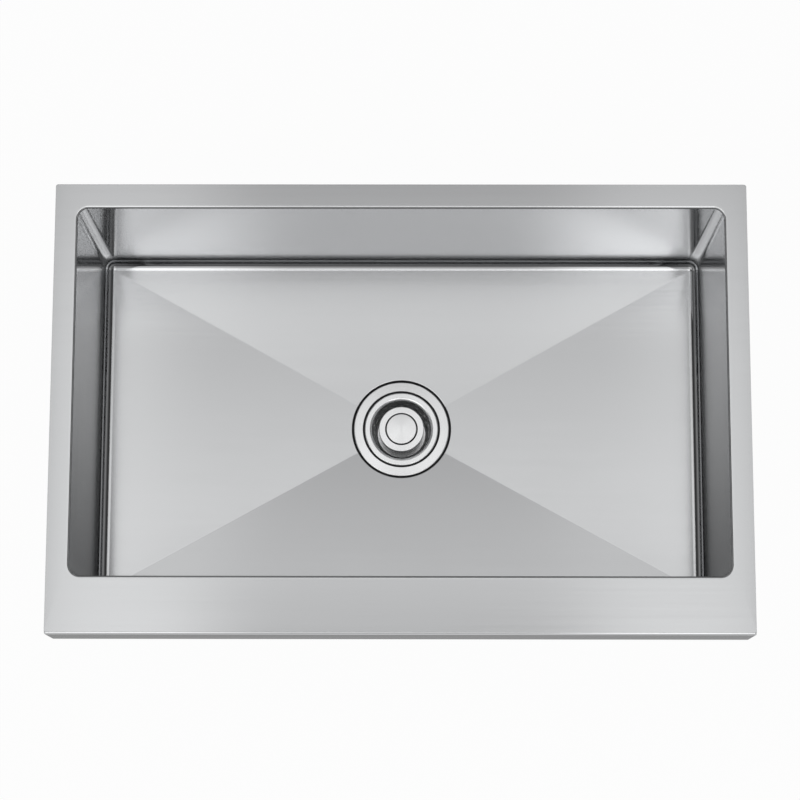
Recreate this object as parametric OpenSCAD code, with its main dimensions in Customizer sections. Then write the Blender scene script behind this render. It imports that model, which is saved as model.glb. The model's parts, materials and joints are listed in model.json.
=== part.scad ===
// Stainless steel kitchen sink: a folded single bowl with a creased floor, a deep front deck
// with a short boxed apron, and a basket strainer with a push-and-pull stopper.
// X runs to the right, Y to the back and Z up. The origin is on the drain's axis, at the
// tailpiece's lower end.

/* [Basin] */
// Inside width of the bowl, wall to wall
bowl_w = 712; // [500:1:900]
// Inside length of the bowl, front to back
bowl_d = 406; // [340:0.5:500]
// Depth of the bowl, from the deck's top to the floor's edge
bowl_h = 254; // [180:1:300]
// Inside radius of the upright corners and of the coves round the floor
corner_r = 12; // [8:0.5:25]
// Thickness of the steel sheet
sheet = 1.5; // [0.9:0.1:2]
// Fall of the four floor facets, from their edges to the drain's axis
floor_fall = 10; // [2:0.5:14]
// Width of the rim at the left and right of the bowl
rim_side = 25; // [18:0.5:40]
// Width of the rim behind the bowl
rim_back = 27.3; // [18:0.1:60]
// Width of the deck in front of the bowl
deck_d = 63.2; // [45:0.1:90]
// Radius of the rim's two back corners
rim_corner_r = 3; // [1:0.5:10]
// Inside radius of the sheet's bends, at the bowl's mouth and on the apron
bend_r = 1; // [0.5:0.1:2]

/* [Apron] */
// Height of the front face
apron_h = 64; // [45:1:120]
// Width of the return folded in below the front face
apron_return = 30; // [15:1:35]
// Length of the two end returns, front to back
apron_end = 56; // [20:1:56]

/* [Sound pads] */
// Thickness of the rubber pads
pad_t = 4; // [2:0.5:8]
// Distance that the pads keep from the bowl's corners and coves
pad_inset = 50; // [20:1:80]
// Gap between the drain's axis and each floor pad
floor_pad_gap = 80; // [75:1:95]
// Height of the pads on the walls
wall_pad_h = 130; // [60:1:140]
// Corner radius of the pads
pad_corner_r = 12; // [2:1:20]

/* [Drain recess] */
// Diameter of the round recess that takes the strainer's flange
recess_d = 116; // [115.5:0.5:126]
// Depth of the recess below the point where the floor's creases meet
recess_depth = 3.8; // [1.5:0.1:5]
// Diameter of the hole in the sink
sink_hole_d = 90; // [89:0.5:91]

/* [Strainer] */
// Diameter of the strainer's flange
flange_d = 114.3; // [112:0.1:115]
// Thickness of the flange
flange_t = 5; // [4.4:0.1:6]
// Fall of the flange's top, from its mouth to its edge
flange_crown = 1.2; // [0.2:0.1:1.6]
// Diameter of the flange's mouth, in which the basket's rim lies
mouth_d = 92; // [91:0.5:96]
// Depth of the shelf that carries the basket's rim
shelf_depth = 3.4; // [2.6:0.1:3.6]
// Outside diameter of the strainer's cup
cup_d = 86.4; // [85:0.1:88]
// Wall thickness of the cup
cup_wall = 1.7; // [1:0.1:2]
// Depth of the cup, from the flange's top to the stopper's seat
cup_depth = 56; // [54:0.5:80]
// Height of the cup's coned bottom
cup_cone_h = 7; // [4:0.5:9]
// Outside diameter of the threaded spigot
spigot_d = 47.8; // [46:0.1:48]
// Bore of the spigot
spigot_bore_d = 40; // [38:0.1:41]
// Length of the spigot
spigot_l = 24; // [20:0.5:40]
// Thickness of the seal between the flange and the sink
flange_seal_t = 1; // [0.5:0.1:2]
// Thickness of the rubber gasket below the sink
gasket_t = 3; // [2:0.5:5]
// Thickness of the fibre washer below the gasket
fibre_t = 1; // [0.5:0.1:2]
// Outside diameter of the gasket and of the fibre washer
gasket_d = 110; // [104:1:114]
// Outside diameter of the lock nut's ring
lock_nut_d = 100; // [96:1:102]
// Height of the lock nut
lock_nut_h = 12; // [8:0.5:16]
// Width of the lock nut's lugs
lug_w = 12; // [8:0.5:16]
// Distance that the lugs stand out
lug_out = 4.5; // [3:0.5:6]
// Number of lugs on the lock nut
lug_count = 6; // [4:1:8]

/* [Tailpiece] */
// Outside diameter of the tailpiece
tail_d = 38.1; // [32:0.1:38.1]
// Wall thickness of the tailpiece
tail_wall = 1.2; // [0.8:0.1:1.6]
// Length of the tailpiece below its flange
tail_l = 100; // [60:1:200]
// Thickness of the tailpiece's flange
tail_flange_t = 2; // [1.5:0.1:3]
// Thickness of the washer above the tailpiece's flange
tail_washer_t = 2.5; // [1.5:0.1:4]
// Width of the coupling nut over its flats
coupling_w = 58; // [55:0.5:66]
// Height of the coupling nut's threaded part
coupling_h = 16; // [10:0.5:18]
// Thickness of the coupling nut's lip
coupling_lip = 3; // [2:0.5:5]

/* [Basket] */
// Outside diameter of the basket's rim
basket_rim_d = 88.4; // [87:0.1:90]
// Inside diameter of the basket at its mouth
basket_mouth_d = 69; // [66:0.5:74]
// Inside diameter of the basket at its bottom
basket_bottom_d = 62; // [56:0.5:66]
// Depth of the basket, from its rim's top to its bottom
basket_depth = 37; // [28:0.5:37]
// Thickness of the basket's sheet
basket_t = 1.2; // [0.8:0.1:1.5]
// Radius of the basket's bends
basket_bend_r = 2.5; // [2:0.1:4]
// Height of the turned-down edge of the basket's rim
rim_skirt = 2.5; // [2:0.1:3]
// Inside radius of the bend above that edge
rim_edge_r = 0.4; // [0.2:0.1:0.6]
// Diameter of the basket's drain holes
drain_hole_d = 4; // [2.5:0.1:4.5]
// Number of holes in each row of the basket's wall
wall_holes = 16; // [8:1:28]
// Number of rows of holes in the basket's wall
wall_rows = 2; // [1:1:3]
// Distance between two rows of holes
row_pitch = 8; // [6:0.5:9]
// Number of holes round the inner ring of the basket's bottom
bottom_holes = 6; // [4:1:10]

/* [Stopper] */
// Diameter of the handle's flat ring
handle_d = 54; // [50:0.5:58]
// Depth of the handle's turned-down edge
handle_skirt = 5; // [2:0.5:8]
// Thickness of the handle's sheet
handle_t = 1.2; // [0.8:0.1:1.6]
// Diameter of the knob
knob_d = 37; // [30:0.5:40]
// Height of the knob
knob_h = 9; // [7:0.5:14]
// Height of the knob's top above the flange's top
knob_stand = 2; // [1:0.1:4]
// Rise of the knob's turned top, from its edge to its middle
knob_crown = 0.6; // [0.2:0.1:1.5]
// Diameter of the stem
stem_d = 8; // [6:0.1:9]
// Travel of the stopper
stopper_lift = 8; // [4:0.5:10]
// Width of the flat seat round the rubber seal
seat_margin = 1; // [0.5:0.5:3]
// Diameter of the rubber seal
seal_d = 49; // [46:0.5:51]
// Thickness of the rubber seal
seal_t = 4; // [3:0.5:6]
// Diameter of the washer above the seal
upper_washer_d = 40; // [24:1:46]
// Diameter of the washer below the seal
lower_washer_d = 28; // [20:1:34]
// Thickness of both washers
stop_washer_t = 1.5; // [1:0.1:2]
// Width of the stem's nut over its flats
stem_nut_w = 13; // [12:0.5:17]
// Height of the stem's nut
stem_nut_h = 5; // [3:0.5:7]
// Outside diameter of the guide's flange
guide_flange_d = 20; // [16:0.5:22]
// Outside diameter of the guide's body
guide_d = 13; // [11:0.5:14]
// Height of the guide above the basket's bottom
guide_h = 10; // [6:0.5:14]
// Diameter of the detent clip's wire
clip_wire = 1.6; // [1:0.1:2]

/* [Clearances] */
// Gap between pieces that move past each other
run_gap = 0.3; // [0.2:0.05:0.4]
// Radial clearance of the stem in its guide
stem_fit = 0.05; // [0.03:0.01:0.1]
// Radial clearance of pieces that are screwed or pressed together
thread_gap = 0.1; // [0.05:0.01:0.2]
// Radial clearance of the coupling nut's lip round the tailpiece
nut_gap = 0.7; // [0.6:0.1:1.2]

/* [Hidden] */
$fn = 36;
bend_fn = 16;
hole_fn = 13;
cut = 1;

// Heights, from the tailpiece's lower end up
z_spigot = tail_l + tail_flange_t + tail_washer_t;
cup_floor_t = cup_wall;
z_seat = z_spigot + spigot_l + cup_floor_t;
z_flange = z_seat + cup_depth;
z_recess = z_flange - flange_t - flange_seal_t;
z_apex = z_recess + recess_depth;
z_floor = z_apex + floor_fall;
z_deck = z_floor + bowl_h;

// Half sizes of the bowl between the middles of its corners
half_x = bowl_w / 2 - corner_r;
half_y = bowl_d / 2 - corner_r;
outer_w = bowl_w + 2 * rim_side;
y_front = -bowl_d / 2 - deck_d;
y_back = bowl_d / 2 + rim_back;
bend_outer = bend_r + sheet;

// Radii of the strainer
cup_bore_r = cup_d / 2 - cup_wall;
seat_r = seal_d / 2 + seat_margin;
flange_edge_r = (flange_t - flange_crown) / 2;

// Basket and stopper
z_rim_top = z_flange - shelf_depth + run_gap + rim_skirt;
z_basket_floor = z_rim_top - basket_depth;
z_seal = z_seat + run_gap;
z_knob_top = z_flange + knob_stand;
z_handle = z_flange + run_gap;
guide_tail = z_basket_floor - basket_t - (z_seal + seal_t + stop_washer_t + stopper_lift + run_gap);
z_stem_low = z_seal - stop_washer_t - stem_nut_h - stem_d / 4;
bottom_pitch = (basket_bottom_d / 2 - basket_bend_r - guide_flange_d / 2) / 3;
steel = [0.76, 0.77, 0.78];
bright_steel = [0.86, 0.87, 0.88];
rubber = [0.16, 0.16, 0.17];

// Quarter of a bent strip: the arc lies between the +X and -Y directions, then it is turned
module quarter_bend(inner_r, t, turn, n = bend_fn) {
    rotate(turn) intersection() {
        difference() {
            circle(inner_r + t, $fn = n);
            circle(inner_r, $fn = n);
        }
        translate([0, -inner_r - t]) square(inner_r + t);
    }
}

// Rectangle centred on the origin, with its corners rounded
module round_rect(w, d, r) {
    square([w - 2 * r, d], center = true);
    square([w, d - 2 * r], center = true);
    for (x = [-1, 1], y = [-1, 1])
        translate([x * (w / 2 - r), y * (d / 2 - r)]) circle(r);
}

module ring(outer_d, inner_d, h) {
    linear_extrude(h) difference() {
        circle(d = outer_d);
        circle(d = inner_d);
    }
}

// Section through cove, wall and mouth bend, with the corner's upright axis at x = 0
module wall_section() {
    wall_top = z_deck - bend_outer;
    translate([0, z_floor + corner_r]) quarter_bend(corner_r, sheet, 0, $fn);
    translate([corner_r, z_floor + corner_r]) square([sheet, wall_top - z_floor - corner_r]);
    translate([corner_r + bend_outer, wall_top]) quarter_bend(bend_r, sheet, 180);
}

// The wall section run along one side of the bowl; it leans out towards +X
module straight_wall(length) {
    translate([0, length / 2, 0]) rotate([90, 0, 0]) linear_extrude(length) wall_section();
}

module basin_walls() {
    for (s = [0, 180]) rotate(s) {
        translate([half_x, 0, 0]) straight_wall(2 * half_y);
        rotate(90) translate([half_y, 0, 0]) straight_wall(2 * half_x);
        translate([half_x, half_y, 0]) rotate_extrude(angle = 90) wall_section();
        translate([-half_x, half_y, 0]) rotate(90) rotate_extrude(angle = 90) wall_section();
    }
}

// Four facets that fall from the coves to the drain's axis, t thick
module floor_facets(t) {
    rim = [for (c = [[-1, -1], [1, -1], [1, 1], [-1, 1]]) [c[0] * half_x, c[1] * half_y, z_floor]];
    top = concat(rim, [[0, 0, z_apex]]);
    low = [for (p = top) p - [0, 0, t]];
    polyhedron(points = concat(top, low), faces = concat(
        [for (i = [0:3]) [4, (i + 1) % 4, i]],
        [for (i = [0:3]) [9, 5 + i, 5 + (i + 1) % 4]],
        [for (i = [0:3]) [i, (i + 1) % 4, 5 + (i + 1) % 4, 5 + i]]));
}

module basin_floor() {
    pan_h = recess_depth + floor_fall + sheet;
    difference() {
        union() {
            floor_facets(sheet);
            intersection() {
                floor_facets(pan_h + cut);
                translate([0, 0, z_recess - sheet]) cylinder(h = pan_h, d = recess_d + 2 * sheet);
            }
        }
        translate([0, 0, z_recess]) cylinder(h = pan_h, d = recess_d);
        translate([0, 0, z_recess - sheet - cut]) cylinder(h = pan_h, d = sink_hole_d);
    }
}

// Flat rim on three sides and the deck in front, which fits between the apron's end returns
module rim_plate() {
    r = corner_r + bend_outer;
    y_low = y_front + bend_outer;
    y_notch = y_front + apron_end;
    translate([0, 0, z_deck - sheet]) linear_extrude(sheet) difference() {
        union() {
            translate([sheet - outer_w / 2, y_low])
                square([outer_w - 2 * sheet, y_notch - y_low]);
            translate([-outer_w / 2, y_notch])
                square([outer_w, y_back - rim_corner_r - y_notch]);
            translate([rim_corner_r - outer_w / 2, y_notch])
                square([outer_w - 2 * rim_corner_r, y_back - y_notch]);
            for (x = [-1, 1])
                translate([x * (outer_w / 2 - rim_corner_r), y_back - rim_corner_r])
                    circle(rim_corner_r, $fn = bend_fn);
        }
        round_rect(2 * (half_x + r), 2 * (half_y + r), r);
    }
}

module bowl() {
    color(steel) {
        basin_walls();
        basin_floor();
        rim_plate();
    }
}

// Section of the apron across its length: top bend, face, lower bend and return
module apron_section() {
    y_in = y_front + bend_outer;
    z_low = z_deck - apron_h;
    translate([y_in, z_deck - bend_outer]) quarter_bend(bend_r, sheet, 180);
    translate([y_front, z_low + bend_outer]) square([sheet, apron_h - 2 * bend_outer]);
    translate([y_in, z_low + bend_outer]) quarter_bend(bend_r, sheet, -90);
    translate([y_in, z_low]) square([apron_return - bend_outer, sheet]);
}

// Outline of the end returns, which close the apron's section up to the deck's top
module apron_end_outline() {
    y_in = y_front + bend_outer;
    z_low = z_deck - apron_h;
    translate([y_in, z_low]) square([apron_end - bend_outer, apron_h]);
    translate([y_front, z_low + bend_outer]) square([bend_outer, apron_h - 2 * bend_outer]);
    for (z = [z_low + bend_outer, z_deck - bend_outer])
        translate([y_in, z]) circle(bend_outer, $fn = bend_fn);
}

module apron() {
    color(steel) {
        rotate([90, 0, 90]) translate([0, 0, -outer_w / 2]) linear_extrude(outer_w) apron_section();
        for (x = [-outer_w / 2, outer_w / 2 - sheet])
            translate([x, 0, 0]) rotate([90, 0, 90]) linear_extrude(sheet) apron_end_outline();
    }
}

module floor_pad(side) {
    w = half_x - pad_inset - floor_pad_gap;
    color(rubber) intersection() {
        translate([0, 0, -sheet]) floor_facets(pad_t);
        translate([side * (floor_pad_gap + w / 2), 0, z_recess - 2 * pad_t])
            linear_extrude(bowl_h) round_rect(w, 2 * (half_y - pad_inset), pad_corner_r);
    }
}

module floor_pad_left() floor_pad(-1);

module floor_pad_right() floor_pad(1);

// Pad glued to the outside of a wall: half the wall's straight length, its distance out, its angle
module wall_pad(half_length, out, turn) {
    color(rubber) rotate(turn)
        translate([out + sheet, 0, z_floor + pad_inset + wall_pad_h / 2])
            rotate([90, 0, 90]) linear_extrude(pad_t)
                round_rect(2 * (half_length - pad_inset), wall_pad_h, pad_corner_r);
}

module end_pad_left() wall_pad(half_y, bowl_w / 2, 180);

module end_pad_right() wall_pad(half_y, bowl_w / 2, 0);

module wall_pad_front() wall_pad(half_x, bowl_d / 2, -90);

module wall_pad_back() wall_pad(half_x, bowl_d / 2, 90);

// Section of the drawn strainer body, from its flange down to the threaded spigot
module strainer_section() {
    edge = flange_d / 2 - flange_edge_r;
    z_cone = z_seat + cup_cone_h;
    polygon([[cup_bore_r, z_flange - flange_t], [edge, z_flange - flange_t],
             [edge, z_flange - flange_crown], [mouth_d / 2, z_flange],
             [mouth_d / 2, z_flange - shelf_depth], [cup_bore_r, z_flange - shelf_depth]]);
    translate([edge, z_flange - flange_t + flange_edge_r]) circle(flange_edge_r, $fn = bend_fn);
    translate([cup_bore_r, z_cone]) square([cup_wall, z_flange - flange_t - z_cone]);
    polygon([[cup_bore_r, z_cone], [seat_r, z_seat], [spigot_bore_d / 2, z_seat],
             [spigot_bore_d / 2, z_seat - cup_floor_t], [seat_r, z_seat - cup_floor_t],
             [cup_bore_r + cup_wall, z_cone - cup_floor_t], [cup_bore_r + cup_wall, z_cone]]);
    translate([spigot_bore_d / 2, z_spigot])
        square([(spigot_d - spigot_bore_d) / 2, spigot_l]);
}

module strainer_body() {
    color(bright_steel) rotate_extrude() strainer_section();
}

module flange_seal() {
    color(rubber) translate([0, 0, z_recess])
        ring(flange_d - 2 * flange_edge_r, sink_hole_d, flange_seal_t);
}

module under_gasket() {
    color(rubber) translate([0, 0, z_recess - sheet - gasket_t])
        ring(gasket_d, cup_d + 4 * thread_gap, gasket_t);
}

module fibre_washer() {
    color([0.55, 0.42, 0.28]) translate([0, 0, z_recess - sheet - gasket_t - fibre_t])
        ring(gasket_d, cup_d + 4 * thread_gap, fibre_t);
}

module lock_nut() {
    bevel = lug_out / 3;
    color([0.80, 0.80, 0.78])
        translate([0, 0, z_recess - sheet - gasket_t - fibre_t - lock_nut_h]) difference() {
            union() {
                translate([0, 0, bevel]) cylinder(h = lock_nut_h - bevel, d = lock_nut_d);
                cylinder(h = bevel, d1 = lock_nut_d - 2 * bevel, d2 = lock_nut_d);
                for (i = [0:lug_count - 1]) rotate(i * 360 / lug_count)
                    translate([0, -lug_w / 2, bevel])
                        cube([lock_nut_d / 2 + lug_out, lug_w, lock_nut_h - 2 * bevel]);
            }
            translate([0, 0, -cut]) cylinder(h = lock_nut_h + 2 * cut, d = cup_d + 2 * thread_gap);
        }
}

module tailpiece_washer() {
    color([0.90, 0.90, 0.88]) translate([0, 0, z_spigot - tail_washer_t])
        ring(spigot_d - cup_wall, tail_d - 2 * tail_wall, tail_washer_t);
}

module tailpiece() {
    color(bright_steel) difference() {
        union() {
            cylinder(h = tail_l, d = tail_d);
            translate([0, 0, tail_l]) cylinder(h = tail_flange_t, d = spigot_d - cup_wall);
        }
        translate([0, 0, -cut])
            cylinder(h = tail_l + tail_flange_t + 2 * cut, d = tail_d - 2 * tail_wall);
    }
}

// Eight-sided nut that draws the tailpiece's flange up against the spigot
module coupling_nut() {
    z_low = tail_l - coupling_lip;
    full_h = coupling_lip + tail_flange_t + tail_washer_t + coupling_h;
    color(bright_steel) difference() {
        union() {
            translate([0, 0, z_low + coupling_lip]) rotate(22.5)
                cylinder(h = full_h - coupling_lip, d = coupling_w / cos(22.5), $fn = 8);
            translate([0, 0, z_low])
                cylinder(h = coupling_lip, d1 = coupling_w - 2 * coupling_lip, d2 = coupling_w);
        }
        translate([0, 0, z_low - cut]) cylinder(h = full_h, d = tail_d + 2 * nut_gap);
        translate([0, 0, tail_l]) cylinder(h = full_h, d = spigot_d + 2 * thread_gap);
    }
}

// Section of the basket: turned-down edge, flat rim, bend, tapered wall, bend and bottom
module basket_section() {
    rim_r = basket_rim_d / 2;
    edge = rim_edge_r + basket_t;
    mouth_r = basket_mouth_d / 2;
    foot_r = basket_bottom_d / 2;
    bend = basket_bend_r + basket_t;
    z_low = z_basket_floor;
    translate([rim_r - basket_t, z_rim_top - rim_skirt]) square([basket_t, rim_skirt - edge]);
    translate([rim_r - edge, z_rim_top - edge]) quarter_bend(rim_edge_r, basket_t, 90);
    translate([mouth_r + bend, z_rim_top - basket_t])
        square([rim_r - edge - mouth_r - bend, basket_t]);
    translate([mouth_r + bend, z_rim_top - bend]) quarter_bend(basket_bend_r, basket_t, 180);
    polygon([[foot_r, z_low + basket_bend_r], [foot_r + basket_t, z_low + basket_bend_r],
             [mouth_r + basket_t, z_rim_top - bend], [mouth_r, z_rim_top - bend]]);
    translate([foot_r - basket_bend_r, z_low + basket_bend_r])
        quarter_bend(basket_bend_r, basket_t, 0);
    translate([guide_d / 2, z_low - basket_t])
        square([foot_r - basket_bend_r - guide_d / 2, basket_t]);
}

// Rows of round holes through the basket's wall, each row half a step on from the last
module wall_hole_rows() {
    mid = (z_rim_top + z_basket_floor - basket_t) / 2;
    for (row = [0:wall_rows - 1], i = [0:wall_holes - 1])
        rotate((i + row / 2) * 360 / wall_holes)
            translate([basket_bottom_d / 4, 0, mid + (row - (wall_rows - 1) / 2) * row_pitch])
                rotate([0, 90, 0]) cylinder(h = basket_mouth_d, d = drain_hole_d, $fn = hole_fn);
}

// Rings of round holes through the basket's bottom, with more holes further out
module bottom_hole_rings() {
    for (k = [0:1]) {
        count = bottom_holes + 6 * k;
        for (i = [0:count - 1]) rotate((i + k / 2) * 360 / count)
            translate([guide_flange_d / 2 + (k + 0.5) * bottom_pitch, 0, z_basket_floor - 2 * basket_t])
                cylinder(h = 3 * basket_t, d = drain_hole_d, $fn = hole_fn);
    }
}

module basket() {
    color(bright_steel) difference() {
        rotate_extrude() basket_section();
        wall_hole_rows();
        bottom_hole_rings();
    }
}

module stem_guide() {
    bore = stem_d + 2 * stem_fit;
    color([0.72, 0.73, 0.74]) difference() {
        union() {
            translate([0, 0, z_basket_floor]) cylinder(h = guide_h / 4, d = guide_flange_d);
            translate([0, 0, z_basket_floor - basket_t - guide_tail])
                cylinder(h = guide_h + basket_t + guide_tail, d = guide_d - 2 * thread_gap);
        }
        translate([0, 0, z_seat]) cylinder(h = cup_depth, d = bore);
    }
}

// Open ring of spring wire, on top of the guide
module detent_clip() {
    color([0.65, 0.66, 0.68]) translate([0, 0, z_basket_floor + guide_h + clip_wire / 2])
        rotate(30) rotate_extrude(angle = 300, $fn = 24)
            translate([stem_d / 2 + run_gap + clip_wire / 2, 0]) circle(d = clip_wire, $fn = bend_fn);
}

// Section of the handle: turned-down edge, flat ring and the well that holds the knob
module handle_section() {
    r = handle_d / 2;
    well_r = knob_d / 2 + run_gap;
    z_well = z_knob_top - knob_h;
    edge_r = handle_t + bend_r;
    translate([r - edge_r, z_handle - edge_r]) quarter_bend(bend_r, handle_t, 90);
    translate([r - handle_t, z_handle - handle_skirt]) square([handle_t, handle_skirt - edge_r]);
    translate([well_r, z_handle - handle_t]) square([r - edge_r - well_r, handle_t]);
    translate([well_r, z_well - handle_t]) square([handle_t, z_handle - z_well + handle_t]);
    translate([stem_d / 4 + thread_gap, z_well - handle_t])
        square([well_r - stem_d / 4 - thread_gap, handle_t]);
}

module handle() {
    color(bright_steel) rotate_extrude() handle_section();
}

module knob() {
    edge = 2 * knob_crown;
    r = knob_d / 2;
    low = z_knob_top - knob_h;
    spigot_r = stem_d / 4 + thread_gap;
    color(bright_steel) rotate_extrude() polygon([
        [spigot_r, low], [r, low], [r, z_knob_top - knob_crown - edge],
        [r - edge, z_knob_top - knob_crown], [0, z_knob_top], [0, low + knob_h / 2],
        [spigot_r, low + knob_h / 2]]);
}

// Stem with a thin screwed end up into the knob and another down through the washers
module stem() {
    z_shoulder = z_knob_top - knob_h - handle_t;
    z_step = z_seal + seal_t + stop_washer_t;
    color([0.70, 0.71, 0.72]) {
        translate([0, 0, z_step]) cylinder(h = z_shoulder - z_step, d = stem_d);
        translate([0, 0, z_shoulder - cut]) cylinder(h = knob_h / 2 + handle_t, d = stem_d / 2);
        translate([0, 0, z_stem_low]) cylinder(h = z_step - z_stem_low + cut, d = stem_d / 2);
    }
}

module upper_washer() {
    color(bright_steel) translate([0, 0, z_seal + seal_t])
        ring(upper_washer_d, stem_d / 2 + 2 * thread_gap, stop_washer_t);
}

// Rubber disc with a rounded edge
module stopper_seal() {
    color(rubber) translate([0, 0, z_seal + seal_t / 2]) rotate_extrude() difference() {
        union() {
            translate([0, -seal_t / 2]) square([seal_d / 2 - seal_t / 2, seal_t]);
            translate([seal_d / 2 - seal_t / 2, 0]) circle(d = seal_t, $fn = bend_fn);
        }
        translate([0, -seal_t]) square([stem_d / 4 + thread_gap, 2 * seal_t]);
    }
}

module lower_washer() {
    color(bright_steel) translate([0, 0, z_seal - stop_washer_t])
        ring(lower_washer_d, stem_d / 2 + 2 * thread_gap, stop_washer_t);
}

module stem_nut() {
    color([0.70, 0.71, 0.72]) translate([0, 0, z_seal - stop_washer_t - stem_nut_h]) difference() {
        cylinder(h = stem_nut_h, d = stem_nut_w / cos(30), $fn = 6);
        translate([0, 0, -cut]) cylinder(h = stem_nut_h + 2 * cut, d = stem_d / 2 + 2 * thread_gap);
    }
}

bowl();
apron();
floor_pad_left();
floor_pad_right();
end_pad_left();
end_pad_right();
wall_pad_front();
wall_pad_back();
strainer_body();
flange_seal();
under_gasket();
fibre_washer();
lock_nut();
tailpiece_washer();
tailpiece();
coupling_nut();
basket();
stem_guide();
detent_clip();
handle();
knob();
stem();
upper_washer();
stopper_seal();
lower_washer();
stem_nut();
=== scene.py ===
"""Stainless steel kitchen sink: finishes, smooth sheet metal and studio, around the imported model.

The folded sheet, the apron and the turned pieces of the drain are modelled here over their CAD
solids; every other node keeps its solid and gets its finish. X runs to the right, Y to the back
and Z up. Lengths are in metres, and in millimetres in the outlines of the turned pieces.
"""

import json
import math

import bmesh
import bpy
from mathutils import Matrix, Vector

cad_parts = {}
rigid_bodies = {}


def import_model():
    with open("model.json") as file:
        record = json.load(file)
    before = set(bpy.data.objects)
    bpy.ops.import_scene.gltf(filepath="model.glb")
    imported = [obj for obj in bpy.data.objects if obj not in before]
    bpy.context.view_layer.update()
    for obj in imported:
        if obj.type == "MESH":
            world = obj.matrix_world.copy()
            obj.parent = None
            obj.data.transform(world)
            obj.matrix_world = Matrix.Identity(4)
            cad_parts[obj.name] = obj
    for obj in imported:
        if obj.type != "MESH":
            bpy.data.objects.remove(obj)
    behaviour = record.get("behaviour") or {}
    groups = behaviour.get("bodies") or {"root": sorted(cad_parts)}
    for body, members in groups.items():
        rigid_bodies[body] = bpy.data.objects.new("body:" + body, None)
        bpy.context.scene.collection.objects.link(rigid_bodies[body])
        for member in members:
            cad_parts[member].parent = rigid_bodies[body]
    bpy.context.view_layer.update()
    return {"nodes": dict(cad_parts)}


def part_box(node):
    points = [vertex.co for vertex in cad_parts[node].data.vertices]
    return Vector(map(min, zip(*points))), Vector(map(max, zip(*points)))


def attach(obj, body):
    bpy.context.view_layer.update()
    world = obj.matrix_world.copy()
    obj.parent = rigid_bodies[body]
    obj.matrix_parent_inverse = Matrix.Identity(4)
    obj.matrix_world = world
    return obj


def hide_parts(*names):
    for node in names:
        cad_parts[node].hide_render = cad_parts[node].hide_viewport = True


for old in list(bpy.data.objects):
    bpy.data.objects.remove(old, do_unlink=True)

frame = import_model()

MM = 0.001

# The sink's sizes, as in the CAD model
BOWL_W = 712 * MM
BOWL_D = 406 * MM
BOWL_H = 254 * MM
CORNER_R = 12 * MM
SHEET = 1.5 * MM
BEND_OUTER = 2.5 * MM
RIM_CORNER_R = 3 * MM
RECESS_R = 58 * MM
RECESS_DEPTH = 3.8 * MM
SINK_HOLE_R = 45 * MM
APRON_H = 64 * MM
APRON_RETURN = 30 * MM

RIM_LOW, RIM_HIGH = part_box("bowl")
APRON_LOW, APRON_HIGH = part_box("apron")
HALF_W = RIM_HIGH.x
Y_BACK = RIM_HIGH.y
Y_FRONT = APRON_LOW.y
Z_DECK = RIM_HIGH.z
Z_RECESS = RIM_LOW.z + SHEET
Z_APEX = Z_RECESS + RECESS_DEPTH
Z_FLOOR = Z_DECK - BOWL_H
FLOOR_FALL = Z_FLOOR - Z_APEX
Z_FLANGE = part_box("strainer_body")[1].z
KNOB_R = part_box("knob")[1].x
HALF_X = BOWL_W / 2 - CORNER_R
HALF_Y = BOWL_D / 2 - CORNER_R
SEAM_Y = Y_FRONT + BEND_OUTER + 0.5 * MM

# How far apart two places may lie and still count as one
NEAR = 0.01 * MM


# Node helpers

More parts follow.
